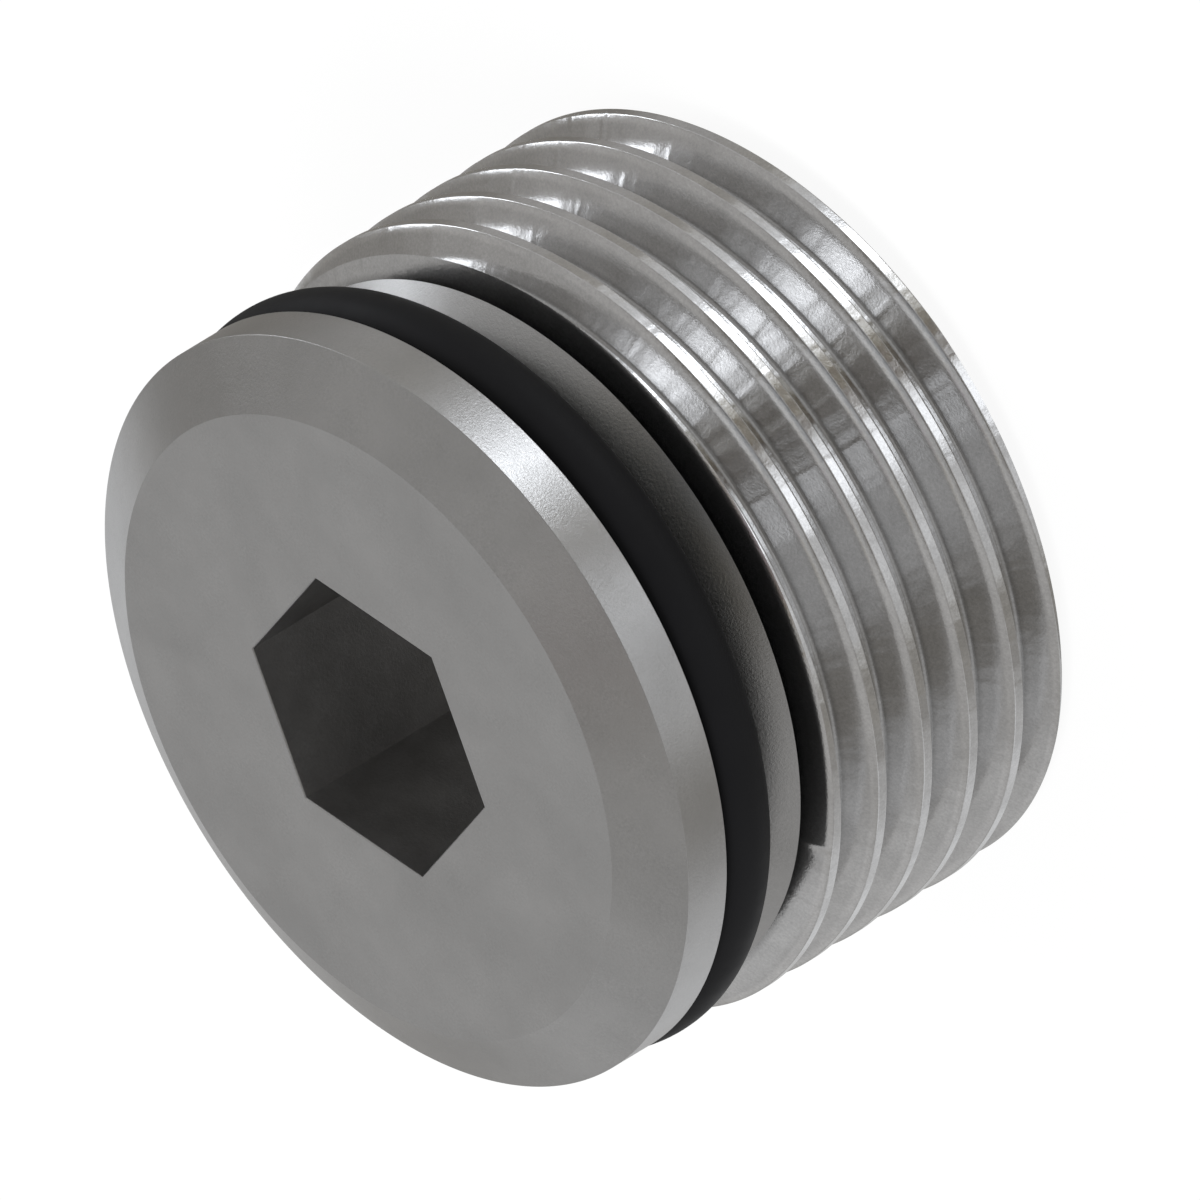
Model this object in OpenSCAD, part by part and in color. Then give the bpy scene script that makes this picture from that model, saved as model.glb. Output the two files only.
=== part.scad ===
// Oil drain plug, turned and threaded in one piece, with a rubber O-ring seated under its head.
// The plug stands on its threaded end: the axis is +Z, the head is on top, and the origin is the
// centre of the flat end face. The thread is a right-handed 60 degree V thread, 1-1/8 in by 12.

/* [Head] */
// How far the head's rim stands out past the groove's floor, all round
head_lip = 2.5; // [1.5:0.05:4.5]
// Thickness of the head, from its face to the seal groove
head_h = 3.1; // [2.2:0.1:6]
// Width of the chamfer round the face, across the face
head_chamfer_w = 2.3; // [0.5:0.05:4.5]
// Height of the chamfer round the face
head_chamfer_h = 1.32; // [0.4:0.02:2]

/* [Hex socket] */
// Width across the socket's flats, 3/8 in
hex_af = 9.525; // [6:0.005:14]
// Depth of the socket below the face
hex_depth = 8; // [4:0.25:14]

/* [Seal] */
// Thickness of the O-ring's cord
ring_cord = 2.62; // [1.8:0.02:3.5]
// Clearance between the O-ring and the groove's floor and side
ring_gap = 0.02; // [0.01:0.01:0.05]
// How much deeper the groove's floor lies than the thread's root, all round
groove_depth = 1.65; // [0.5:0.05:3]
// Width of the groove's floor, from the head to the foot of the ramp
groove_w = 2.6; // [2.2:0.05:5]
// Slope of the ramp that leads from the groove up to the thread, from the axis
ramp_angle = 45; // [30:1:60]

/* [Thread] */
// Diameter over the thread's crests
thread_d = 28.4; // [27:0.1:32]
// Height that the thread climbs in one turn, 12 turns to an inch
thread_pitch = 2.1167; // [1.5:0.0001:2.8]
// Depth of the thread as a share of its pitch
depth_share = 0.567; // [0.5:0.001:0.7]
// Length from the head's underside to the end face
shank_l = 16; // [12:0.5:40]
// Lean of the face where the thread starts at the neck, from square to the axis
start_angle = 18; // [8:1:29]
// Place round the plug where a crest leaves the end face's level
thread_start = 105; // [0:5:355]

/* [End] */
// How much smaller than the thread's root the flat end face is, all round
end_inset = 0.25; // [0.1:0.05:1]
// Slope of the lead-in chamfer, from the end face
end_angle = 28; // [15:1:29]

/* [Smoothness] */
// Flat steps round one turn of the thread
thread_steps = 96; // [48:12:144]

/* [Hidden] */

steel_colour = [0.56, 0.56, 0.545];
rubber_colour = [0.07, 0.07, 0.075];

// Round faces of the turned head and the O-ring
round_steps = 180;
// Half the angle between the two flanks of the V thread
flank_angle = 30;
// Points of the thread closer than this to a cut are taken off with it
cut_snap = 0.002;
// Width of the plain ring where the turned neck meets the thread's many-sided one
neck_step = 0.01;
// How far the turned head's core reaches down inside the thread
core_l = 1.5;
// Turns of the ridge past each end, which the cuts take off
spare_turns = 2;
// How far the socket's cutter stands out of the face
cutter_out = 1;

major_r = thread_d / 2;
thread_depth = depth_share * thread_pitch;
minor_r = major_r - thread_depth;
flank_w = thread_depth * tan(flank_angle);
// The crest and the root are flats of the same width
crest_w = thread_pitch / 2 - flank_w;

plug_l = shank_l + head_h;
groove_r = minor_r - groove_depth;
ramp_l = (minor_r - groove_r) / tan(ramp_angle);
ramp_foot_z = shank_l - groove_w;
thread_top = ramp_foot_z - ramp_l;
end_r = minor_r - end_inset;

head_r = groove_r + head_lip;
face_r = head_r - head_chamfer_w;

ring_cord_r = ring_cord / 2;
ring_r = groove_r + ring_gap + ring_cord_r;
ring_z = shank_l - ring_gap - ring_cord_r;

// One ridge of the thread, from root to root, as [height from the crest's middle, radius]
ridge = [
    [-crest_w / 2 - flank_w, minor_r],
    [-crest_w / 2, major_r],
    [crest_w / 2, major_r],
    [crest_w / 2 + flank_w, minor_r]
];

first_turn = -spare_turns;
last_turn = ceil(thread_top / thread_pitch) + spare_turns;

end_edge = [0, end_r];
neck_edge = [thread_top, minor_r];

// How far inside the end's chamfer a point [height, radius] lies
function end_room(p) = end_r + p[0] / tan(end_angle) - p[1];

// How far inside the face where the thread starts a point lies
function start_room(p) = minor_r + (thread_top - p[0]) / tan(start_angle) - p[1];

// Number of the first point that the end's chamfer leaves, counting up the thread
function first_kept(points, i = 0) = end_room(points[i]) >= cut_snap ? i : first_kept(points, i + 1);

// Number of the last point that the start's face leaves, counting down the thread
function last_kept(points, i) = start_room(points[i]) >= cut_snap ? i : last_kept(points, i - 1);

// Where the line from a lost point to a kept one crosses the cut between them
function crossing(lost, kept, lost_room, kept_room) =
    lost + (kept - lost) * max(0, -lost_room / (kept_room - lost_room));

// The point itself, or the edge where the two are all but the same
function snapped(p, edge) = norm(p - edge) < cut_snap ? edge : p;

// The thread's uncut section in the plane at an angle round the axis, from below the end upwards
function ridges_at(angle) =
    let (lift = thread_pitch * (angle - thread_start) / 360)
    [for (turn = [first_turn : last_turn], p = ridge) [lift + turn * thread_pitch + p[0], p[1]]];

// The same section, cut by the end's chamfer and by the start's face. Lost points gather at
// the cuts, so every section has as many points as the next and the cuts' edges stay sharp.
function section_at(angle) =
    let (
        uncut = ridges_at(angle),
        low = first_kept(uncut),
        high = last_kept(uncut, len(uncut) - 1),
        end_cut = crossing(uncut[low - 1], uncut[low], end_room(uncut[low - 1]), end_room(uncut[low])),
        start_cut = crossing(uncut[high + 1], uncut[high], start_room(uncut[high + 1]), start_room(uncut[high])),
        neck_cut = snapped(start_cut, neck_edge)
    )
    [
        end_edge,
        for (i = [0 : len(uncut) - 1]) i < low ? end_cut : i > high ? neck_cut : uncut[i],
        neck_edge
    ];

// Number of a point in the list of all sections. One full turn on, a ridge's point is the
// next ridge's point of the first section, and the two edges close on themselves.
function point_number(row, step, rows) =
    step < thread_steps ? step * rows + row
    : row == 0 || row == rows - 1 ? row
    : min(row + len(ridge), rows - 2);

// A triangle, or nothing where two of its corners are one point
function real_triangle(t, points) =
    points[t[0]] == points[t[1]] || points[t[1]] == points[t[2]] || points[t[2]] == points[t[0]] ? [] : [t];

module threaded_shank() {
    sections = [for (step = [0 : thread_steps - 1]) section_at(step * 360 / thread_steps)];
    rows = len(sections[0]);
    points = [
        for (step = [0 : thread_steps - 1])
            let (angle = step * 360 / thread_steps)
            for (p = sections[step]) [p[1] * cos(angle), p[1] * sin(angle), p[0]]
    ];
    skin = [
        for (step = [0 : thread_steps - 1], row = [0 : rows - 2])
            let (
                a = point_number(row, step, rows),
                b = point_number(row + 1, step, rows),
                c = point_number(row + 1, step + 1, rows),
                d = point_number(row, step + 1, rows)
            )
            each concat(real_triangle([a, b, c], points), real_triangle([a, c, d], points))
    ];
    end_face = [for (step = [0 : thread_steps - 1]) point_number(0, step, rows)];
    neck_face = [for (step = [thread_steps - 1 : -1 : 0]) point_number(rows - 1, step, rows)];
    polyhedron(points = points, faces = concat(skin, [end_face, neck_face]), convexity = 10);
}

// Head, seal groove, the ramp up to the thread and a core inside it, as one turned form
module turned_head() {
    rotate_extrude($fn = round_steps)
        polygon([
            [0, thread_top - core_l],
            [minor_r - neck_step, thread_top - core_l],
            [minor_r - neck_step, thread_top],
            [groove_r, ramp_foot_z],
            [groove_r, shank_l],
            [head_r, shank_l],
            [head_r, plug_l - head_chamfer_h],
            [face_r, plug_l],
            [0, plug_l]
        ]);
}

// The socket's corners lie on the Y axis, and two of its flats face X
module hex_cutter() {
    translate([0, 0, plug_l - hex_depth])
        rotate([0, 0, 30])
            cylinder(d = hex_af / cos(30), h = hex_depth + cutter_out, $fn = 6);
}

module plug_body() {
    color(steel_colour)
        difference() {
            union() {
                turned_head();
                threaded_shank();
            }
            hex_cutter();
        }
}

module o_ring() {
    color(rubber_colour)
        translate([0, 0, ring_z])
            rotate_extrude($fn = round_steps)
                translate([ring_r, 0])
                    circle(r = ring_cord_r, $fn = 48);
}

plug_body();
o_ring();
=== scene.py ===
"""Looks of the drain plug: finely modelled body and O-ring, their materials, a white studio and a camera."""

import math

import bmesh
import bpy
from mathutils import Matrix, Vector


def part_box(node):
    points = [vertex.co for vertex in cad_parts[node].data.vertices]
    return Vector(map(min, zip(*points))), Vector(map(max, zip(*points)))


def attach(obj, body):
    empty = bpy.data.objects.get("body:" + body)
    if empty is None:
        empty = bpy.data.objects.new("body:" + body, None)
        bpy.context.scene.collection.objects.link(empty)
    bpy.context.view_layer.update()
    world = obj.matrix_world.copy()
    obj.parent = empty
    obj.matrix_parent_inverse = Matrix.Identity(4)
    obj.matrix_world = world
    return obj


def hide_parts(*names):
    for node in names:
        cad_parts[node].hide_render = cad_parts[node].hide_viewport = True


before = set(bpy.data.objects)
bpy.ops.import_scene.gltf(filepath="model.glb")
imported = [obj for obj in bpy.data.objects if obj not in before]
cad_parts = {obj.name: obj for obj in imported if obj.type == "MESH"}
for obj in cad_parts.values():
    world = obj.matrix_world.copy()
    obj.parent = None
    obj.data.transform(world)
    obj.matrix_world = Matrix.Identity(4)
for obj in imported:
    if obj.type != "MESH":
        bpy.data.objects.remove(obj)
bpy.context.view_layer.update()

MM = 0.001

# Sizes that the frame gives
PLUG_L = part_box("plug_body")[1].z
MAJOR_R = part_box("plug_body")[1].x
RING_LOW, RING_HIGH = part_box("o_ring")
RING_CORD_R = (RING_HIGH.z - RING_LOW.z) / 2
RING_R = RING_HIGH.x - RING_CORD_R
RING_Z = (RING_HIGH.z + RING_LOW.z) / 2

# Sizes of the turned body, as in the part's source
HEAD_LIP = 2.5 * MM
HEAD_H = 3.1 * MM
HEAD_CHAMFER_W = 2.3 * MM
HEAD_CHAMFER_H = 1.32 * MM
HEX_AF = 9.525 * MM
HEX_DEPTH = 8 * MM
GROOVE_DEPTH = 1.65 * MM
GROOVE_W = 2.6 * MM
RAMP_ANGLE = math.radians(45)
PITCH = 2.1167 * MM
THREAD_DEPTH = 0.567 * PITCH
FLANK_ANGLE = math.radians(30)
START_ANGLE = math.radians(18)
END_ANGLE = math.radians(28)
END_INSET = 0.25 * MM
THREAD_START = math.radians(105)

MINOR_R = MAJOR_R - THREAD_DEPTH
GROOVE_R = MINOR_R - GROOVE_DEPTH
HEAD_R = GROOVE_R + HEAD_LIP
FACE_R = HEAD_R - HEAD_CHAMFER_W
FLANK_W = THREAD_DEPTH * math.tan(FLANK_ANGLE)
CREST_W = PITCH / 2 - FLANK_W
SHANK_L = PLUG_L - HEAD_H
RAMP_FOOT_Z = SHANK_L - GROOVE_W
THREAD_TOP = RAMP_FOOT_Z - (MINOR_R - GROOVE_R) / math.tan(RAMP_ANGLE)
END_R = MINOR_R - END_INSET

# A place on the face, between the socket's corners and the chamfer
ON_FACE_R = HEX_AF * 0.65
# Half the angle that one flat of the hex takes up round the axis
HALF_FLAT = math.radians(30)

# Flat steps round the plug, round the O-ring's cord, and round one rounded edge
STEPS = 360
CORD_STEPS = 64
CORNER_STEPS = 5
# Turns of the ridge past each end, which the cuts take off
SPARE_TURNS = 2
# Roundings of the plain edges, the crests' edges and the roots, and the socket's broken edge
EDGE_ROUND = 0.025 * MM
CREST_ROUND = 0.05 * MM
ROOT_ROUND = 0.2 * MM
SOCKET_BREAK = 0.04 * MM
# Width of the strip beside each rounding that keeps the flat face's shading flat
HOLD = 0.02 * MM
# Points closer than these to a cut, or to each other, are made one
SNAP = 0.002 * MM
MERGE = SNAP / 10
# Edges with a larger angle than these degrees stay sharp
BODY_SHARP = 22
RING_SHARP = 60

# Places of the body's materials in its list
SATIN, THREAD, SOCKET = range(3)


def arc_corner(before, corner, after, radius):
    """Points of the arc that rounds a corner of an outline, from one tangent point to the other."""
    to_before = (before - corner).normalized()
    to_after = (after - corner).normalized()
    turn = math.pi - to_before.angle(to_after)
    tangent = radius * math.tan(turn / 2)
    centre = corner + (to_before + to_after).normalized() * (radius / math.cos(turn / 2))
    start = corner + to_before * tangent - centre
    end = corner + to_after * tangent - centre
    return [
        centre + (start * math.sin(turn * (1 - k)) + end * math.sin(turn * k)) / math.sin(turn)
        for k in (i / CORNER_STEPS for i in range(CORNER_STEPS + 1))
    ]


def rounded_outline(corners):
    """An outline with each corner (radius, height, rounding) rounded, and held flat right up to the arcs."""
    points = [Vector(c[:2]) for c in corners]
    outline = [points[0]]
    for i in range(1, len(points) - 1):
        rounding = corners[i][2]
        if rounding:
            arc = arc_corner(points[i - 1], points[i], points[i + 1], rounding)
            before = (points[i - 1] - points[i]).normalized() * HOLD
            after = (points[i + 1] - points[i]).normalized() * HOLD
            outline += [arc[0] + before, *arc, arc[-1] + after]
        else:
            outline.append(points[i])
    return outline + [points[-1]]


def head_outline():
    """Section of the head, groove and ramp, from inside the face down to the thread, as (radius, height)."""
    return rounded_outline([
        (ON_FACE_R, PLUG_L, 0),
        (FACE_R, PLUG_L, EDGE_ROUND),
        (HEAD_R, PLUG_L - HEAD_CHAMFER_H, EDGE_ROUND),
        (HEAD_R, SHANK_L, EDGE_ROUND),
        (GROOVE_R, SHANK_L, EDGE_ROUND),
        (GROOVE_R, RAMP_FOOT_Z, EDGE_ROUND),
        (MINOR_R, THREAD_TOP, 0),
    ])[1:]


def ridge_outline():
    """One ridge of the thread, from root to root, as (radius, height from the crest's middle)."""
    root_z = CREST_W / 2 + FLANK_W
    return rounded_outline([
        (MINOR_R, -PITCH / 2, 0),
        (MINOR_R, -root_z, ROOT_ROUND),
        (MAJOR_R, -CREST_W / 2, CREST_ROUND),
        (MAJOR_R, CREST_W / 2, CREST_ROUND),
        (MINOR_R, root_z, ROOT_ROUND),
        (MINOR_R, PITCH / 2, 0),
    ])[1:-1]


RIDGE = ridge_outline()
FIRST_TURN = -SPARE_TURNS
LAST_TURN = math.ceil(THREAD_TOP / PITCH) + SPARE_TURNS
END_EDGE = Vector((END_R, 0))
NECK_EDGE = Vector((MINOR_R, THREAD_TOP))


def end_room(p):
    """How far inside the end's chamfer a point (radius, height) lies."""
    return END_R + p.y / math.tan(END_ANGLE) - p.x


def start_room(p):
    """How far inside the face where the thread starts a point lies."""
    return MINOR_R + (THREAD_TOP - p.y) / math.tan(START_ANGLE) - p.x


def crossing(lost, kept, room):
    """Where the line from a lost point to a kept one crosses the cut between them."""
    share = max(0.0, -room(lost) / (room(kept) - room(lost)))
    return lost + (kept - lost) * share


def thread_section(angle):
    """The thread's section at an angle, from the neck down to the end, with the lost points at the cuts."""
    lift = PITCH * (angle - THREAD_START) / math.tau
    uncut = [
        Vector((p.x, lift + turn * PITCH + p.y))
        for turn in range(FIRST_TURN, LAST_TURN + 1)
        for p in RIDGE
    ]
    low = next(i for i, p in enumerate(uncut) if end_room(p) >= SNAP)
    high = max(i for i, p in enumerate(uncut) if start_room(p) >= SNAP)
    end_cut = crossing(uncut[low - 1], uncut[low], end_room)
    start_cut = crossing(uncut[high + 1], uncut[high], start_room)
    if (start_cut - NECK_EDGE).length < SNAP:
        start_cut = NECK_EDGE
    cut = [end_cut if i < low else start_cut if i > high else p for i, p in enumerate(uncut)]
    return [NECK_EDGE, *cut[::-1], END_EDGE]


def socket_section(angle):
    """The socket from its floor's edge up its wall to the face. Its corners lie on the Y axis."""
    off_flat = (angle + HALF_FLAT) % (2 * HALF_FLAT) - HALF_FLAT
    wall = HEX_AF / 2 / math.cos(off_flat)
    return [
        Vector((wall, PLUG_L - HEX_DEPTH)),
        Vector((wall, PLUG_L - SOCKET_BREAK)),
        Vector((wall + SOCKET_BREAK, PLUG_L)),
    ]


def distinct(verts):
    """The same corners without the repeated ones, in their order."""
    return list(dict.fromkeys(verts))


def body_mesh():
    """The whole body as one closed skin: socket, head, groove, ramp, thread and end face."""
    head = head_outline()[:-1]
    angles = [math.tau * step / STEPS for step in range(STEPS)]
    sections = [socket_section(angle) + head + thread_section(angle) for angle in angles]

    # The socket's last two points bound its broken edge, and the others its wall
    wall_rows = len(socket_section(0)) - 2
    # A section ends with the neck's edge, the points of all the ridges and the end face's edge
    last_thread_row = len(sections[0]) - 2
    neck_row = last_thread_row - (LAST_TURN - FIRST_TURN + 1) * len(RIDGE)

    def row_after_turn(row):
        """The row that a row runs into one full turn on, where the helix has gone up by a ridge."""
        if neck_row < row <= last_thread_row:
            return max(row - len(RIDGE), neck_row + 1)
        return row

    def material_of(row):
        if row < wall_rows:
            return SOCKET
        return THREAD if row >= neck_row else SATIN

    mesh = bmesh.new()
    grid = [
        [mesh.verts.new((p.x * math.cos(angle), p.x * math.sin(angle), p.y)) for p in section]
        for angle, section in zip(angles, sections)
    ]
    grid.append([grid[0][row_after_turn(row)] for row in range(len(sections[0]))])
    floor_centre = mesh.verts.new((0, 0, PLUG_L - HEX_DEPTH))
    end_centre = mesh.verts.new((0, 0, 0))

    for here, there in zip(grid, grid[1:]):
        for row in range(len(here) - 1):
            corners = distinct([here[row], here[row + 1], there[row + 1], there[row]])
            if len(corners) > 2:
                mesh.faces.new(corners).material_index = material_of(row)
        mesh.faces.new([floor_centre, here[0], there[0]]).material_index = SOCKET
        mesh.faces.new([end_centre, there[-1], here[-1]]).material_index = SATIN
    bmesh.ops.remove_doubles(mesh, verts=mesh.verts, dist=MERGE)
    bmesh.ops.recalc_face_normals(mesh, faces=mesh.faces)
    return mesh


def ring_mesh():
    """The O-ring's skin."""
    mesh = bmesh.new()
    grid = []
    for i in range(STEPS):
        round_axis = math.tau * i / STEPS
        row = []
        for j in range(CORD_STEPS):
            round_cord = math.tau * j / CORD_STEPS
            r = RING_R + RING_CORD_R * math.cos(round_cord)
            z = RING_Z + RING_CORD_R * math.sin(round_cord)
            row.append(mesh.verts.new((r * math.cos(round_axis), r * math.sin(round_axis), z)))
        grid.append(row)
    for i in range(STEPS):
        here, there = grid[i], grid[(i + 1) % STEPS]
        for j in range(CORD_STEPS):
            k = (j + 1) % CORD_STEPS
            mesh.faces.new([here[j], there[j], there[k], here[k]])
    return mesh


def as_piece(name, mesh, materials, sharp_angle):
    """A smooth-shaded object of a bmesh, with its edges over an angle kept sharp."""
    data = bpy.data.meshes.new(name)
    mesh.to_mesh(data)
    mesh.free()
    for material in materials:
        data.materials.append(material)
    data.shade_smooth()
    data.set_sharp_from_angle(angle=math.radians(sharp_angle))
    piece = bpy.data.objects.new(name, data)
    bpy.context.scene.collection.objects.link(piece)
    return piece


# Numbers of the mixing node's colour sockets
MIX_A, MIX_B, MIX_RESULT = 6, 7, 2
# A noise runs from 0 to 1 round this middle
NOISE_MIDDLE = 0.5


class Nodes:
    """Short ways to add and join the nodes of one material or of the world."""

    def __init__(self, tree):
        self.tree = tree
        tree.nodes.clear()

    def add(self, kind, **settings):
        node = self.tree.nodes.new(kind)
        for name, value in settings.items():
            setattr(node, name, value)
        return node

    def feed(self, socket, value):
        if isinstance(value, bpy.types.NodeSocket):
            self.tree.links.new(value, socket)
        else:
            socket.default_value = value

    def place(self, kind):
        return self.add("ShaderNodeTexCoord").outputs[kind]

    def maths(self, operation, *values):
        node = self.add("ShaderNodeMath", operation=operation)
        for socket, value in zip(node.inputs, values):
            self.feed(socket, value)
        return node.outputs[0]

    def ramp(self, value, span, result, kind="LINEAR"):
        """A value carried over from one span of numbers to another, and held at its ends."""
        node = self.add("ShaderNodeMapRange", interpolation_type=kind)
        names = ("Value", "From Min", "From Max", "To Min", "To Max")
        for name, number in zip(names, (value, *span, *result)):
            self.feed(node.inputs[name], number)
        return node.outputs["Result"]

    def noise(self, vector, scale, detail, roughness):
        node = self.add("ShaderNodeTexNoise")
        self.feed(node.inputs["Vector"], vector)
        node.inputs["Scale"].default_value = scale
        node.inputs["Detail"].default_value = detail
        node.inputs["Roughness"].default_value = roughness
        return node.outputs["Fac"]

    def speckle(self, grain, depth):
        """A factor of about 1 that follows a grain."""
        swing = self.maths("MULTIPLY", self.maths("SUBTRACT", grain, NOISE_MIDDLE), depth)
        return self.maths("ADD", swing, 1.0)

    def bump(self, height, distance, normal=None, strength=1.0):
        node = self.add("ShaderNodeBump")
        node.inputs["Strength"].default_value = strength
        node.inputs["Distance"].default_value = distance
        self.feed(node.inputs["Height"], height)
        if normal is not None:
            self.feed(node.inputs["Normal"], normal)
        return node.outputs[0]

    def mix_colour(self, factor, a, b, blend="MIX", clamped=False):
        node = self.add("ShaderNodeMix", data_type="RGBA", blend_type=blend, clamp_result=clamped)
        self.feed(node.inputs["Factor"], factor)
        self.feed(node.inputs[MIX_A], a)
        self.feed(node.inputs[MIX_B], b)
        return node.outputs[MIX_RESULT]

    def tinted(self, level, tint):
        """A grey level as a colour, multiplied by a tint."""
        return self.mix_colour(1.0, level, (*tint, 1), "MULTIPLY")

    def shader(self, colour, roughness, normal, metallic=0.0):
        node = self.add("ShaderNodeBsdfPrincipled")
        self.feed(node.inputs["Base Color"], colour)
        node.inputs["Metallic"].default_value = metallic
        self.feed(node.inputs["Roughness"], roughness)
        self.feed(node.inputs["Normal"], normal)
        return node

    def mix_shader(self, factor, a, b):
        node = self.add("ShaderNodeMixShader")
        for socket, value in zip(node.inputs, (factor, a, b)):
            self.feed(socket, value)
        return node.outputs[0]

    def surface(self, shader, kind="ShaderNodeOutputMaterial"):
        """Ends the tree with what a shader gives."""
        self.feed(self.add(kind).inputs["Surface"], shader)


# Noises: how many blotches lie along one metre, how much finer detail they carry, and how rough that is
CLOUDS = (260, 4.0, 0.6)
PATCHES = (700, 3.0, 0.6)
SATIN_GRAIN = (10000, 3.0, 0.75)
THREAD_GRAIN = (10000, 2.0, 0.7)
RUBBER_PATCHES = (700, 3.0, 0.5)
RUBBER_GRAIN = (7000, 3.0, 0.65)
# Most of a noise's values lie in this span
NOISE_SPAN = (0.3, 0.7)

# Steel: how much metal and what tint it has, and how much its roughness varies
METAL = 1.0
STEEL_TINT = (1.008, 1.0, 0.995)
ROUGHNESS_SPREAD = 0.05

# Satin steel: where the patches of denser grain begin and end, how deep its speckle goes outside and
# inside them, and how high the grain stands
DENSE_SPAN = (0.4, 0.65)
SPECKLE_DEPTHS = (0.15, 0.5)
SATIN_GRAIN_H = 0.01 * MM

# Thread's steel: its darkest and brightest level, and the depth of its speckle
# Both levels lie above the head steel's 0.42: painted light, so that the flanks, which see the studio only
# after two reflections, come out bright
THREAD_LEVELS = (0.5, 0.56)
THREAD_SPECKLE = 0.5
# Painted shade: the roots are darker, up to a height above their floor
ROOT_SHADE = 0.7
ROOT_SHADE_H = 0.3 * MM
# The strip beside each crest is painted brighter, a painted highlight, and bends down to the flank, and the
# crest itself is painted darker, painted shade that tones down its reflection
EDGE_WEAR_AND_HIGHLIGHT_W = 0.32 * MM
EDGE_WEAR_H = EDGE_WEAR_AND_HIGHLIGHT_W * 0.12
EDGE_HIGHLIGHT_LEVEL = 1.15
CREST_BLEND_W = EDGE_WEAR_AND_HIGHLIGHT_W / 8
CREST_SHADE_LEVEL = 0.87
# Waves of the thread's skin: blotches for one radian round the plug and for one metre along its axis, the
# noise that they are drawn with, and their height
WAVES_ROUND = 9
WAVES_ALONG = 260
WAVES = (1.0, 2.0, 0.55)
WAVES_H = 0.05 * MM
# Chatter marks: how many lie round the plug, how far each fades out to its sides as a share of the space
# between two, the blotches in which they show, and their height
MARKS_ROUND = 50
MARK_W = 0.12
MARKED_ROUND = 4
MARKED_ALONG = 60
MARKED = (1.0, 2.0, 0.5)
MARKED_SPAN = (0.42, 0.62)
MARKS_H = 0.0045 * MM
THREAD_GRAIN_H = 0.004 * MM
# Roughness of the thread's sharp shine and of the haze over it, and the haze's share
SHARP_SHINE = (0.12, 0.14)
HAZE = 0.29
HAZE_SHARE = 0.27

# Rubber: its darkest and lightest colour, roughness, shine, and the grain's height and strength
RUBBER_DARK = (0.004, 0.004, 0.0046, 1)
RUBBER_LIGHT = (0.006, 0.006, 0.0068, 1)
RUBBER_ROUGHNESS = (0.5, 0.6)
RUBBER_SHINE = 0.12
RUBBER_GRAIN_H = 0.006 * MM
RUBBER_GRAIN_STRENGTH = 0.3


def new_material(name):
    material = bpy.data.materials.new(name)
    material.use_nodes = True
    return material, Nodes(material.node_tree)


def spread(middle, share):
    """The lowest and highest of a value that varies by a share of itself."""
    return middle * (1 - share), middle * (1 + share)


def satin_steel(name, level, roughness, cloudiness):
    """Satin steel: faint clouds in its tone, and a fine sparkling grain that is denser in patches."""
    material, n = new_material(name)
    place = n.place("Object")
    clouds = n.noise(place, *CLOUDS)
    patches = n.noise(place, *PATCHES)
    grain = n.noise(place, *SATIN_GRAIN)
    cloud_tone = n.ramp(clouds, NOISE_SPAN, spread(level, cloudiness))
    depth = n.ramp(patches, DENSE_SPAN, SPECKLE_DEPTHS)
    tone = n.maths("MULTIPLY", cloud_tone, n.speckle(grain, depth))
    roughnesses = n.ramp(patches, NOISE_SPAN, spread(roughness, ROUGHNESS_SPREAD))
    steel = n.shader(n.tinted(tone, STEEL_TINT), roughnesses, n.bump(grain, SATIN_GRAIN_H), METAL)
    n.surface(steel.outputs[0])
    return material


def thread_colour(n, radius, patches, grain):
    """The thread's tone: speckled and patchy, with painted shade in its roots, a painted highlight on the
    strip beside its crests, and the crests painted darker.
    """
    tone = n.maths("MULTIPLY", n.ramp(patches, NOISE_SPAN, THREAD_LEVELS), n.speckle(grain, THREAD_SPECKLE))
    # Painted shade: the roots' tone darkens towards their floor
    root = n.ramp(radius, (MINOR_R, MINOR_R + ROOT_SHADE_H), (ROOT_SHADE, 1.0), "SMOOTHSTEP")
    # Painted highlight on the strip beside each crest
    edge_highlight_span = (MAJOR_R - EDGE_WEAR_AND_HIGHLIGHT_W, MAJOR_R - EDGE_WEAR_AND_HIGHLIGHT_W / 2)
    painted_edge_highlight = n.ramp(radius, edge_highlight_span, (1.0, EDGE_HIGHLIGHT_LEVEL), "SMOOTHSTEP")
    # Painted shade: the crest itself is toned darker to dim its reflection
    crest = n.ramp(radius, (MAJOR_R - CREST_BLEND_W, MAJOR_R), (1.0, CREST_SHADE_LEVEL))
    # The roots' painted shade, the painted highlight beside the crests and the crests' painted shade,
    # together
    painted_light_and_shade = n.maths("MULTIPLY", root, n.maths("MULTIPLY", painted_edge_highlight, crest))
    return n.tinted(n.maths("MULTIPLY", tone, painted_light_and_shade), STEEL_TINT)


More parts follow.
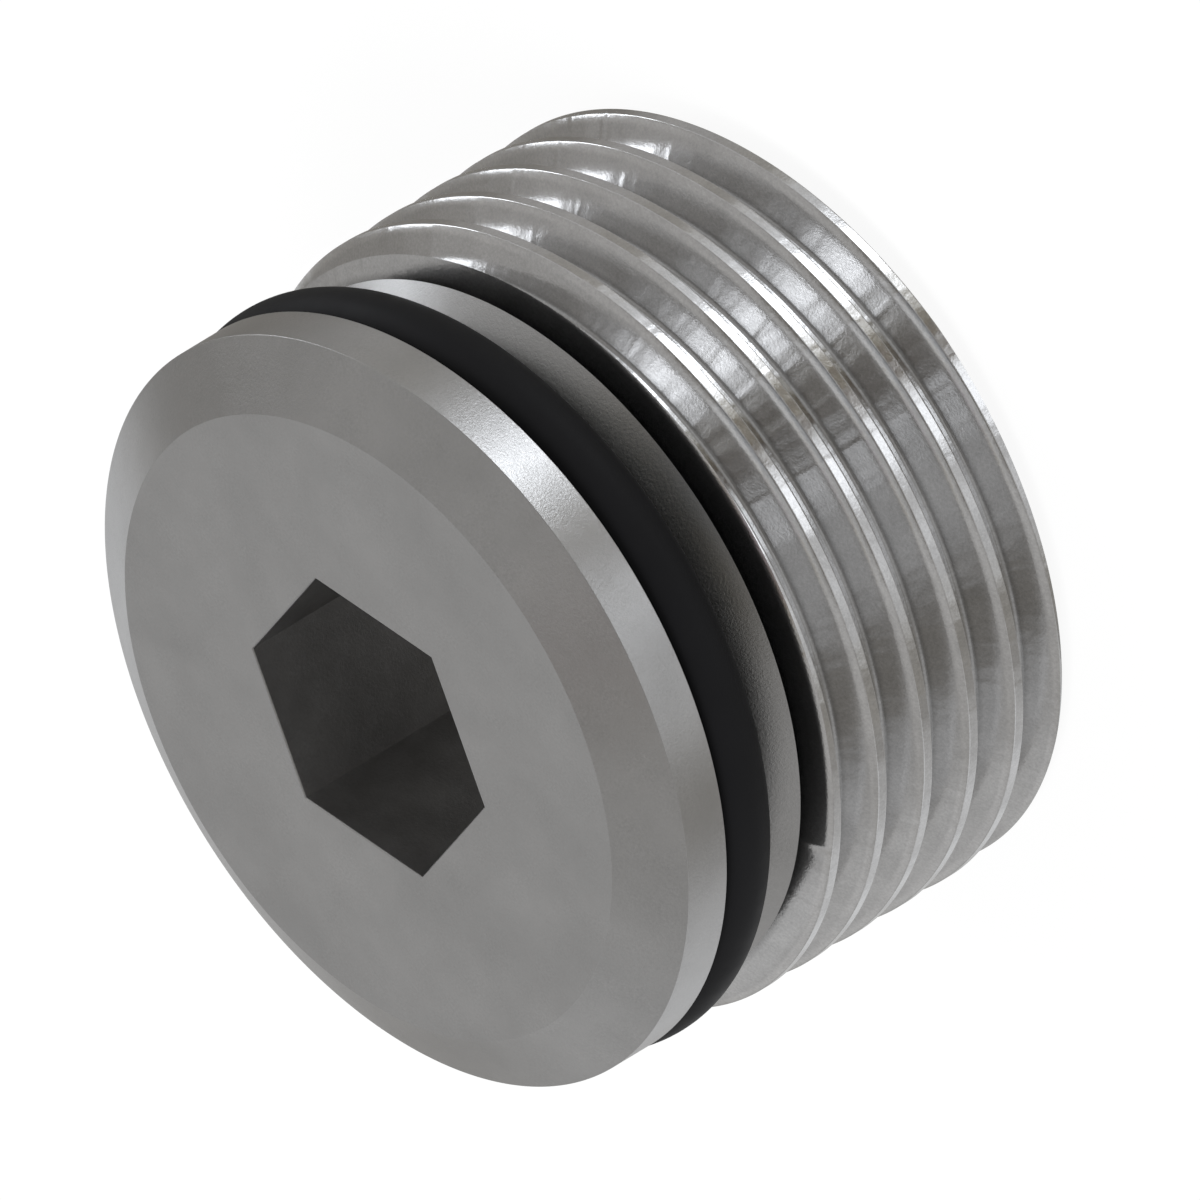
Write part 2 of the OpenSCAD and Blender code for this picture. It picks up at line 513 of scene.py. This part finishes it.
def thread_normal(n, x, y, z, radius, grain):
    """The thread's relief: edges worn soft, waves and chatter marks round the plug, and a fine grain."""
    across = n.maths("DIVIDE", x, radius)
    along = n.maths("DIVIDE", y, radius)

    def noise_round_plug(round_scale, axis_scale, look):
        stretched = n.add("ShaderNodeCombineXYZ")
        for socket, place, scale in zip(
            stretched.inputs, (across, along, z), (round_scale, round_scale, axis_scale)
        ):
            n.feed(socket, n.maths("MULTIPLY", place, scale))
        return n.noise(stretched.outputs[0], *look)

    waves = noise_round_plug(WAVES_ROUND, WAVES_ALONG, WAVES)
    turns = n.maths("MULTIPLY", n.maths("ARCTAN2", y, x), MARKS_ROUND / math.tau)
    half_space = 0.5
    from_mark = n.maths("PINGPONG", turns, half_space)
    mark = n.ramp(from_mark, (0.0, MARK_W), (1.0, 0.0), "SMOOTHSTEP")
    marked = n.ramp(noise_round_plug(MARKED_ROUND, MARKED_ALONG, MARKED), MARKED_SPAN, (0.0, 1.0))
    to_crest = n.ramp(radius, (MAJOR_R - EDGE_WEAR_AND_HIGHLIGHT_W, MAJOR_R), (0.0, 1.0))
    worn_away = n.maths("SUBTRACT", 1.0, n.maths("MULTIPLY", to_crest, to_crest))

    normal = n.bump(worn_away, EDGE_WEAR_H)
    normal = n.bump(waves, WAVES_H, normal)
    normal = n.bump(n.maths("MULTIPLY", mark, marked), MARKS_H, normal)
    return n.bump(grain, THREAD_GRAIN_H, normal)


def thread_steel():
    """Steel of the thread, painted brighter than the head's steel as painted light for its flanks: a sharp
    shine under a haze.
    """
    material, n = new_material("thread_steel")
    place = n.place("Object")
    apart = n.add("ShaderNodeSeparateXYZ")
    n.feed(apart.inputs[0], place)
    x, y, z = apart.outputs
    radius = n.maths("SQRT", n.maths("ADD", n.maths("MULTIPLY", x, x), n.maths("MULTIPLY", y, y)))
    patches = n.noise(place, *PATCHES)
    grain = n.noise(place, *THREAD_GRAIN)
    colour = thread_colour(n, radius, patches, grain)
    normal = thread_normal(n, x, y, z, radius, grain)
    sharp = n.shader(colour, n.ramp(patches, NOISE_SPAN, SHARP_SHINE), normal, METAL)
    haze = n.shader(colour, HAZE, normal, METAL)
    n.surface(n.mix_shader(HAZE_SHARE, sharp.outputs[0], haze.outputs[0]))
    return material


def rubber():
    """Matt black moulded rubber."""
    material, n = new_material("black_rubber")
    place = n.place("Object")
    patches = n.noise(place, *RUBBER_PATCHES)
    grain = n.noise(place, *RUBBER_GRAIN)
    colour = n.mix_colour(patches, RUBBER_DARK, RUBBER_LIGHT)
    normal = n.bump(grain, RUBBER_GRAIN_H, strength=RUBBER_GRAIN_STRENGTH)
    matt = n.shader(colour, n.ramp(patches, NOISE_SPAN, RUBBER_ROUGHNESS), normal)
    matt.inputs["Specular IOR Level"].default_value = RUBBER_SHINE
    n.surface(matt.outputs[0])
    return material


# The photo's view: the camera's place round and above the plug, and the slope of the plug's axis in the
# picture. Then the picture's width, the real length of a pixel, and where the head's centre lies
VIEW_AZIMUTH = math.radians(-9.6)
VIEW_ELEVATION = math.radians(33.42)
AXIS_SLOPE = math.radians(31.18)
PICTURE_PX = 1200
PX = 0.0332 * MM
HEAD_CENTRE_PX = (368.3, 727.9)
# How far the camera stands from the head, and the nearest and farthest that it sees
CAMERA_AWAY = 0.2
CAMERA_NEAR = 0.01
CAMERA_FAR = 10


def picture_axes():
    """The picture's right and up directions and the direction towards the camera, in the frame."""
    a, e = VIEW_AZIMUTH, VIEW_ELEVATION
    towards = Vector((math.sin(a) * math.cos(e), -math.cos(a) * math.cos(e), math.sin(e)))
    level = Vector((math.cos(a), math.sin(a), 0))
    axis_up = towards.cross(level)
    right = -math.cos(AXIS_SLOPE) * axis_up - math.sin(AXIS_SLOPE) * level
    up = -math.sin(AXIS_SLOPE) * axis_up + math.cos(AXIS_SLOPE) * level
    return right, up, towards


def make_camera():
    """The photo's camera, which sees without perspective."""
    right, up, towards = picture_axes()
    across = (PICTURE_PX / 2 - HEAD_CENTRE_PX[0]) * PX
    above = (HEAD_CENTRE_PX[1] - PICTURE_PX / 2) * PX
    aim = Vector((0, 0, PLUG_L)) + right * across + up * above
    turn = Matrix((right, up, towards)).transposed()
    data = bpy.data.cameras.new("camera")
    data.type = "ORTHO"
    data.ortho_scale = PICTURE_PX * PX
    data.clip_start = CAMERA_NEAR
    data.clip_end = CAMERA_FAR
    camera = bpy.data.objects.new("camera", data)
    camera.matrix_world = Matrix.Translation(aim + towards * CAMERA_AWAY) @ turn.to_4x4()
    bpy.context.scene.collection.objects.link(camera)
    bpy.context.scene.camera = camera


# What the shiny metal sees of the studio: its plain level, and soft lights and shades as degrees round
# the plug from the camera's side, degrees above the floor, half width, soft edge, and strength
STUDIO_LEVEL = 0.4
STUDIO_LIGHTS = [
    (-43, -32, 3, 6, 4.5),
    (-37, -29, 3, 7, 1.0),
    (-43, -22, 3, 8, 2.2),
    (-30, -32, 3, 7, 1.1),
    (-62, -32, 4, 9, 0.45),
    (-57, -20, 4, 10, 0.3),
    (-31, -24, 1.5, 4, 0.5),
    (-24, -25, 1.5, 4, 0.5),
    (2, -35, 3, 8, 0.9),
    (9, -32, 3, 7, 1.0),
    (22, -31, 6, 10, 0.25),
    (30, -22, 6, 10, 0.16),
    (42, -33, 6, 10, 0.34),
    (105, -34, 8, 12, 0.2),
    (132, -34, 10, 14, 0.3),
    (155, -32, 10, 14, 0.18),
    (100, -6, 6, 22, 0.4),
    (-112, 2, 5, 4, 6.5),
    (-126, 16, 4, 5, 3.2),
    (-100, -33, 8, 16, 0.08),
    (-170, -9, 6, 13, 0.5),
    (145, 22, 14, 20, 0.18),
    (180, 33, 12, 25, 0.12),
    (0, 88, 30, 40, 0.09),
    (0, 75, 6, 14, 0.36),
    (50, 70, 6, 14, 0.08),
    (-84, 12, 12, 17, 0.22),
    (-28, 12, 12, 17, 0.22),
    (28, 12, 12, 17, 0.22),
    (84, 12, 12, 17, 0.22),
]
STUDIO_SHADES = [
    (-10, -26, 4, 6, 0.14),
    (9, -25, 2, 6, 0.12),
    (-150, -33, 10, 14, 0.15),
    (-146, 19, 8, 12, 0.1),
    (12, 54, 15, 12, 0.36),
    (-30, 53, 10, 12, 0.34),
]
WARM_SHADES = [
    (-25, -33, 3, 6, 0.28),
    (-11, -31, 2, 5, 0.3),
    (-80, -32, 6, 10, 0.07),
    (62, -31, 4, 10, 0.05),
    (70, -17, 3, 14, 0.03),
    (60, 84, 6, 8, 0.4),
]
# Tints of the plain level and the lights, and what the shades take away of each colour
STUDIO_TINT = (1.025, 1.0, 0.965)
LIGHT_TINT = (0.955, 1.0, 1.06)
SHADE_TINT = (0.98, 1.0, 1.04)
WARM_SHADE_TINT = (0.86, 0.98, 1.26)
# Blotches that make the studio uneven: their noise, the span of it that counts, and their levels
ROOM_BLOTCHES = (11.0, 2.0, 0.5)
ROOM_SPAN = (0.35, 0.65)
ROOM_LEVELS = (0.86, 1.14)
# What dull surfaces see of the studio, and what the camera sees
DULL_LIGHT = (0.75, 0.75, 0.75, 1)
WHITE = (1, 1, 1, 1)

FLOOR_SIZE = 4
FLOOR_COLOUR = (0.8, 0.8, 0.8, 1)
# Share of its own white that the floor shows the camera. The rest of it keeps the plug's shadow
FLOOR_GLOW = 0.92

# Lamps: name, place in metres, and power in watts
LAMP_SIZE = 0.3
LAMPS = [
    ("key", (-0.25, -0.2, 0.5), 3.0),
    ("fill", (0.35, 0.1, 0.4), 1.5),
]


def studio_direction(round_plug, above_floor):
    """A direction given in degrees, round the plug clockwise from the camera's side and above the floor."""
    azimuth = VIEW_AZIMUTH - math.pi / 2 - math.radians(round_plug)
    height = math.radians(above_floor)
    level = math.cos(height)
    return Vector((math.cos(azimuth) * level, math.sin(azimuth) * level, math.sin(height)))


def sum_of_spots(n, direction, spots):
    """The sum of soft round spots on the studio's walls, each with its own strength."""
    total = 0.0
    for round_plug, above_floor, half_width, soft_edge, strength in spots:
        dot = n.add("ShaderNodeVectorMath", operation="DOT_PRODUCT")
        n.feed(dot.inputs[0], direction)
        dot.inputs[1].default_value = studio_direction(round_plug, above_floor)
        outside = math.cos(math.radians(half_width + soft_edge))
        inside = math.cos(math.radians(half_width))
        spot = n.ramp(dot.outputs["Value"], (outside, inside), (0, strength), "SMOOTHSTEP")
        total = n.maths("ADD", total, spot)
    return total


def make_world():
    """White to the camera, plain to dull surfaces, and a grey-white studio with soft lights to shiny ones."""
    world = bpy.data.worlds.new("studio")
    bpy.context.scene.world = world
    world.use_nodes = True
    world.cycles.sampling_method = "NONE"
    n = Nodes(world.node_tree)
    direction = n.place("Generated")
    blotches = n.ramp(n.noise(direction, *ROOM_BLOTCHES), ROOM_SPAN, ROOM_LEVELS)
    room = n.tinted(n.maths("MULTIPLY", STUDIO_LEVEL, blotches), STUDIO_TINT)
    # The shades come first and stop at black, so that none of them takes colour out of a light
    for spots, tint, blend in (
        (STUDIO_SHADES, SHADE_TINT, "SUBTRACT"),
        (WARM_SHADES, WARM_SHADE_TINT, "SUBTRACT"),
        (STUDIO_LIGHTS, LIGHT_TINT, "ADD"),
    ):
        level = n.maths("MULTIPLY", sum_of_spots(n, direction, spots), blotches)
        room = n.mix_colour(1.0, room, n.tinted(level, tint), blend, clamped=blend == "SUBTRACT")
    path = n.add("ShaderNodeLightPath")
    shiny = n.maths("MAXIMUM", path.outputs["Is Glossy Ray"], path.outputs["Is Transmission Ray"])
    seen = n.mix_colour(shiny, DULL_LIGHT, room)
    background = n.add("ShaderNodeBackground")
    n.feed(background.inputs["Color"], n.mix_colour(path.outputs["Is Camera Ray"], seen, WHITE))
    n.surface(background.outputs[0], "ShaderNodeOutputWorld")


def make_floor():
    """A plain white floor, which keeps the plug's soft shadow."""
    bpy.ops.mesh.primitive_plane_add(size=FLOOR_SIZE, location=(0, 0, 0))
    floor = bpy.context.object
    floor.name = "floor"
    material, n = new_material("white_floor")
    seen = n.add("ShaderNodeLightPath").outputs["Is Camera Ray"]
    diffuse = n.add("ShaderNodeBsdfDiffuse")
    diffuse.inputs["Color"].default_value = FLOOR_COLOUR
    glow = n.add("ShaderNodeEmission")
    n.surface(n.mix_shader(n.maths("MULTIPLY", seen, FLOOR_GLOW), diffuse.outputs[0], glow.outputs[0]))
    floor.data.materials.append(material)
    floor.visible_glossy = False


def make_lamp(name, place, power):
    """A square soft light that looks at the plug's middle."""
    data = bpy.data.lights.new(name, "AREA")
    data.size = LAMP_SIZE
    data.energy = power
    lamp = bpy.data.objects.new(name, data)
    lamp.location = place
    aim = Vector((0, 0, PLUG_L / 2)) - lamp.location
    lamp.rotation_euler = aim.to_track_quat("-Z", "Y").to_euler()
    lamp.visible_glossy = False
    bpy.context.scene.collection.objects.link(lamp)


# In the order of SATIN, THREAD and SOCKET
STEELS = [
    satin_steel("satin_steel", level=0.42, roughness=0.3, cloudiness=0.07),
    thread_steel(),
    # The socket's steel is lighter than the face's: painted light that lifts the shade in the deep recess
    satin_steel("socket_steel", level=0.5, roughness=0.36, cloudiness=0.2),
]

body = as_piece("plug_body_fine", body_mesh(), STEELS, BODY_SHARP)
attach(body, "root")
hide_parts("plug_body")

ring = as_piece("o_ring_fine", ring_mesh(), [rubber()], RING_SHARP)
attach(ring, "root")
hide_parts("o_ring")

make_floor()
make_world()
for lamp in LAMPS:
    make_lamp(*lamp)
make_camera()
bpy.context.scene.view_settings.view_transform = "Standard"
